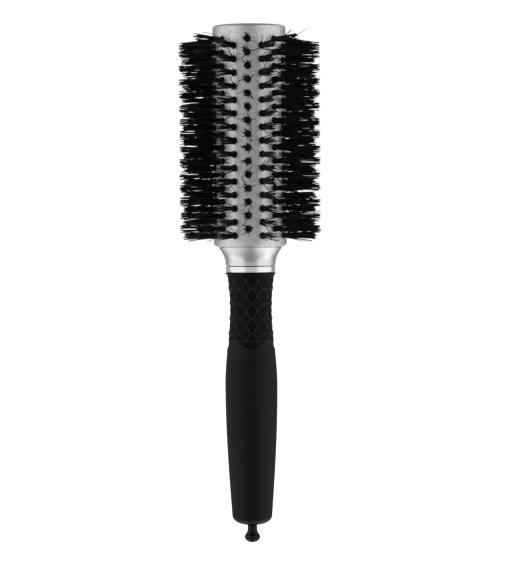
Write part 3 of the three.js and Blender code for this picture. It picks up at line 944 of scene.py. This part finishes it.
def pick_shaft():
    """Slim tail of the pick, with a groove for its stop clip near the top."""
    shoulder = GUIDE_LOW[2]
    tenon_bevel = 0.2
    shoulder_bevel = 0.15
    groove = TENON_RADIUS + 0.2
    groove_bottom = CLIP_LOW[2] - PIECE_GAP
    groove_top = CLIP_HIGH[2] + PIECE_GAP
    tip = [(1.0, 1.2), (0.8, 0.4), (0.4, 0.0), (0.0, 0.0)]      # share of radius, depth from top
    return turned_piece("pick_shaft", [
        (0.0, TENON_BOTTOM),
        (TENON_RADIUS - tenon_bevel, TENON_BOTTOM),
        (TENON_RADIUS, TENON_BOTTOM + tenon_bevel),
        (TENON_RADIUS, shoulder),
        (ROD_RADIUS - shoulder_bevel, shoulder),
        (ROD_RADIUS, shoulder + shoulder_bevel),
        (ROD_RADIUS, groove_bottom),
        (groove, groove_bottom),
        (groove, groove_top),
        (ROD_RADIUS, groove_top),
        *[(ROD_RADIUS * share, ROD_TOP - depth) for share, depth in tip],
    ], segments=ROD_SEGMENTS, closed=False)


def pick_bush():
    """Bush in the handle's end that the pick slides through, grooved for its friction ring."""
    bore = ROD_RADIUS + 0.35
    outside = GUIDE_POCKET - 0.12
    groove_bottom, groove_top = 11.4, 13.4
    groove = 3.5
    low, high = GUIDE_LOW[2], GUIDE_HIGH[2]
    return turned_piece("pick_bush", rounded([
        (bore, low, 0.3),
        (outside, low, 0.2),
        (outside, high, 0.3),
        (bore, high, 0.3),
        (bore, groove_top, 0),
        (groove, groove_top, 0),
        (groove, groove_bottom, 0),
        (bore, groove_bottom, 0),
    ]), segments=FINE_TURN_SEGMENTS)


# ---- assembly ---------------------------------------------------------------------------
place(barrel(), "brush", SATIN, "satin_aluminium", "barrel_tube")
for row_index in range(ROWS):
    strip_node = f"tuft_strip_{row_index + 1:02d}"
    place(bristle_row(row_index), "brush", FIBRE, "bristles", strip_node)
place(end_cap(), "brush", GLOSS, "black_plastic", "end_plug")
place(ferrule(), "brush", POLISHED, "satin_aluminium", "ferrule")
place(trim_ring(), "brush", BRIGHT, "bright_aluminium", "trim_ring")
place(grip(), "brush", SOFT_TOUCH, "soft_touch", "grip_sleeve")
place(pick_bush(), "brush", GLOSS, "black_plastic", "pick_guide")
place(knob(), "pick", GLOSS, "black_plastic", "pick_knob")
place(pick_shaft(), "pick", GLOSS, "black_plastic", "pick_rod")

CARRIED_OVER = {
    "spreader_core": GREY_PLASTIC,
    "barrel_hub": GREY_PLASTIC,
    "handle_core": GREY_PLASTIC,
    "threaded_insert": BRASS,
    "tie_washer": STEEL,
    "tie_screw": STEEL,
    "pick_stop_clip": STEEL,
    "friction_ring": NITRILE,
}
for node_name, node_material in CARRIED_OVER.items():
    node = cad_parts[node_name]
    node.data.materials.clear()
    node.data.materials.append(node_material)


# ---- stage, light and camera ------------------------------------------------------------
FLOOR_HEIGHT = -0.080           # metres; below the pick at its full reach
FLOOR_HALF_SIZE = 6.0
VIEW_TURN = math.radians(2.5)   # the camera stands a little to the right of the front row
CAMERA_DISTANCE = 1.092         # metres, from the brush's axis
CAMERA_HEIGHT = 0.1663          # metres; a little above the aim, so it looks slightly down
AIM_HEIGHT = 0.1266             # metres; half-way up the brush
AIM_RIGHT = 0.0028              # metres
CAMERA_ROLL = math.radians(-0.4)
LENS_MM = 145.6                 # on a sensor whose long side is 36 mm
ROOM_GREY = 0.22                # what reflections see beyond the softboxes
LOW_ROOM_GREY = 1.05            # and low down at the sides and behind
FRONT_EDGE = math.radians(165)  # turn from the back at which the low room starts
SIDE_EDGE = math.radians(80)    # and at which it is at its lightest
HIGH_EDGE = -0.4                # Z of the direction at which it starts
LOW_EDGE = -0.7                 # and at which it is at its lightest
LIGHT_AIM = 0.13                # metres; height that the softboxes face
FLOOR_GLOW = 1.2                # the floor shines a little, so it stays pale


def view_direction(turn):
    """Horizontal direction from the brush towards a viewer turned from the front."""
    return Vector((math.sin(turn), -math.cos(turn), 0))


def floor():
    """Plain pale backdrop that neither lights nor shades the brush."""
    draft = Draft()
    size = FLOOR_HALF_SIZE / MM
    height = FLOOR_HEIGHT / MM
    corners = [(-size, -size), (size, -size), (size, size), (-size, size)]
    draft.face([draft.add((x, y, height)) for x, y in corners])
    made = draft.build("pale_floor")
    finish = Finish("pale_floor")
    tone = finish.ramp(finish.noise(400), 0.86, 0.88)
    finish.set("Base Color", tone)
    finish.shader.inputs["Roughness"].default_value = 0.9
    finish.set("Emission Color", tone)
    finish.shader.inputs["Emission Strength"].default_value = FLOOR_GLOW
    made.data.materials.append(finish.material)
    made.visible_glossy = False
    made.visible_diffuse = False
    made.visible_shadow = False


def softbox(name, turn_degrees, distance, height, size, watts):
    """Rectangular light, in metres, that faces the brush from a turn to the right of the front."""
    data = bpy.data.lights.new(name, "AREA")
    data.shape = "RECTANGLE"
    data.size, data.size_y = size
    data.energy = watts
    lamp = bpy.data.objects.new(name, data)
    direction = view_direction(math.radians(turn_degrees))
    lamp.location = direction * distance + Vector((0, 0, height))
    aim = Vector((0, 0, LIGHT_AIM))
    lamp.rotation_euler = (lamp.location - aim).to_track_quat("Z", "Y").to_euler()
    bpy.context.scene.collection.objects.link(lamp)


def studio_world():
    """White for the camera; reflections see a grey room, lighter low down except in front."""
    world = bpy.data.worlds.new("studio")
    world.use_nodes = True
    tree = world.node_tree
    links = tree.links

    def between(value, start, end):
        node = tree.nodes.new("ShaderNodeMapRange")
        node.inputs["From Min"].default_value = start
        node.inputs["From Max"].default_value = end
        links.new(value, node.inputs["Value"])
        return node.outputs["Result"]

    def maths(operation, *values):
        node = tree.nodes.new("ShaderNodeMath")
        node.operation = operation
        for value, socket in zip(values, node.inputs):
            links.new(value, socket)
        return node.outputs["Value"]

    direction = tree.nodes.new("ShaderNodeSeparateXYZ")
    links.new(tree.nodes.new("ShaderNodeTexCoord").outputs["Generated"], direction.inputs[0])
    turn = maths("ARCTAN2", direction.outputs["X"], direction.outputs["Y"])
    beside = between(maths("ABSOLUTE", turn), FRONT_EDGE, SIDE_EDGE)
    below = between(direction.outputs["Z"], HIGH_EDGE, LOW_EDGE)
    room = between(maths("MULTIPLY", beside, below), 0, 1)
    room.node.inputs["To Min"].default_value = ROOM_GREY
    room.node.inputs["To Max"].default_value = LOW_ROOM_GREY
    rays = tree.nodes.new("ShaderNodeLightPath")
    tone = maths("MAXIMUM", room, rays.outputs["Is Camera Ray"])
    links.new(tone, tree.nodes["Background"].inputs["Color"])
    bpy.context.scene.world = world


def camera():
    data = bpy.data.cameras.new("camera")
    data.lens = LENS_MM
    made = bpy.data.objects.new("camera", data)
    toward = view_direction(VIEW_TURN)
    right = Vector((math.cos(VIEW_TURN), math.sin(VIEW_TURN), 0))
    position = toward * CAMERA_DISTANCE + Vector((0, 0, CAMERA_HEIGHT))
    aim = right * AIM_RIGHT + Vector((0, 0, AIM_HEIGHT))
    look = (position - aim).to_track_quat("Z", "Y").to_matrix().to_4x4()
    made.matrix_world = Matrix.Translation(position) @ look @ Matrix.Rotation(CAMERA_ROLL, 4, "Z")
    bpy.context.scene.collection.objects.link(made)
    bpy.context.scene.camera = made


floor()
softbox("left_softbox", -68, distance=0.9, height=0.2, size=(1.6, 1.6), watts=6.0)
softbox("right_softbox", 74, distance=0.9, height=0.2, size=(1.6, 1.6), watts=6.2)
softbox("right_low_softbox", 103, distance=0.55, height=-0.6, size=(0.8, 0.8), watts=0.5)
softbox("left_rear_softbox", -128, distance=0.9, height=0.1, size=(0.5, 1.4), watts=0.3)
softbox("right_rear_softbox", 128, distance=0.9, height=0.1, size=(0.5, 1.4), watts=0.25)
softbox("front_softbox", 0, distance=1.6, height=0.1, size=(1.8, 0.9), watts=1.6)
softbox("rear_softbox", 180, distance=1.2, height=0.9, size=(1.2, 0.6), watts=1.5)
studio_world()
camera()
bpy.context.scene.view_settings.view_transform = "Standard"
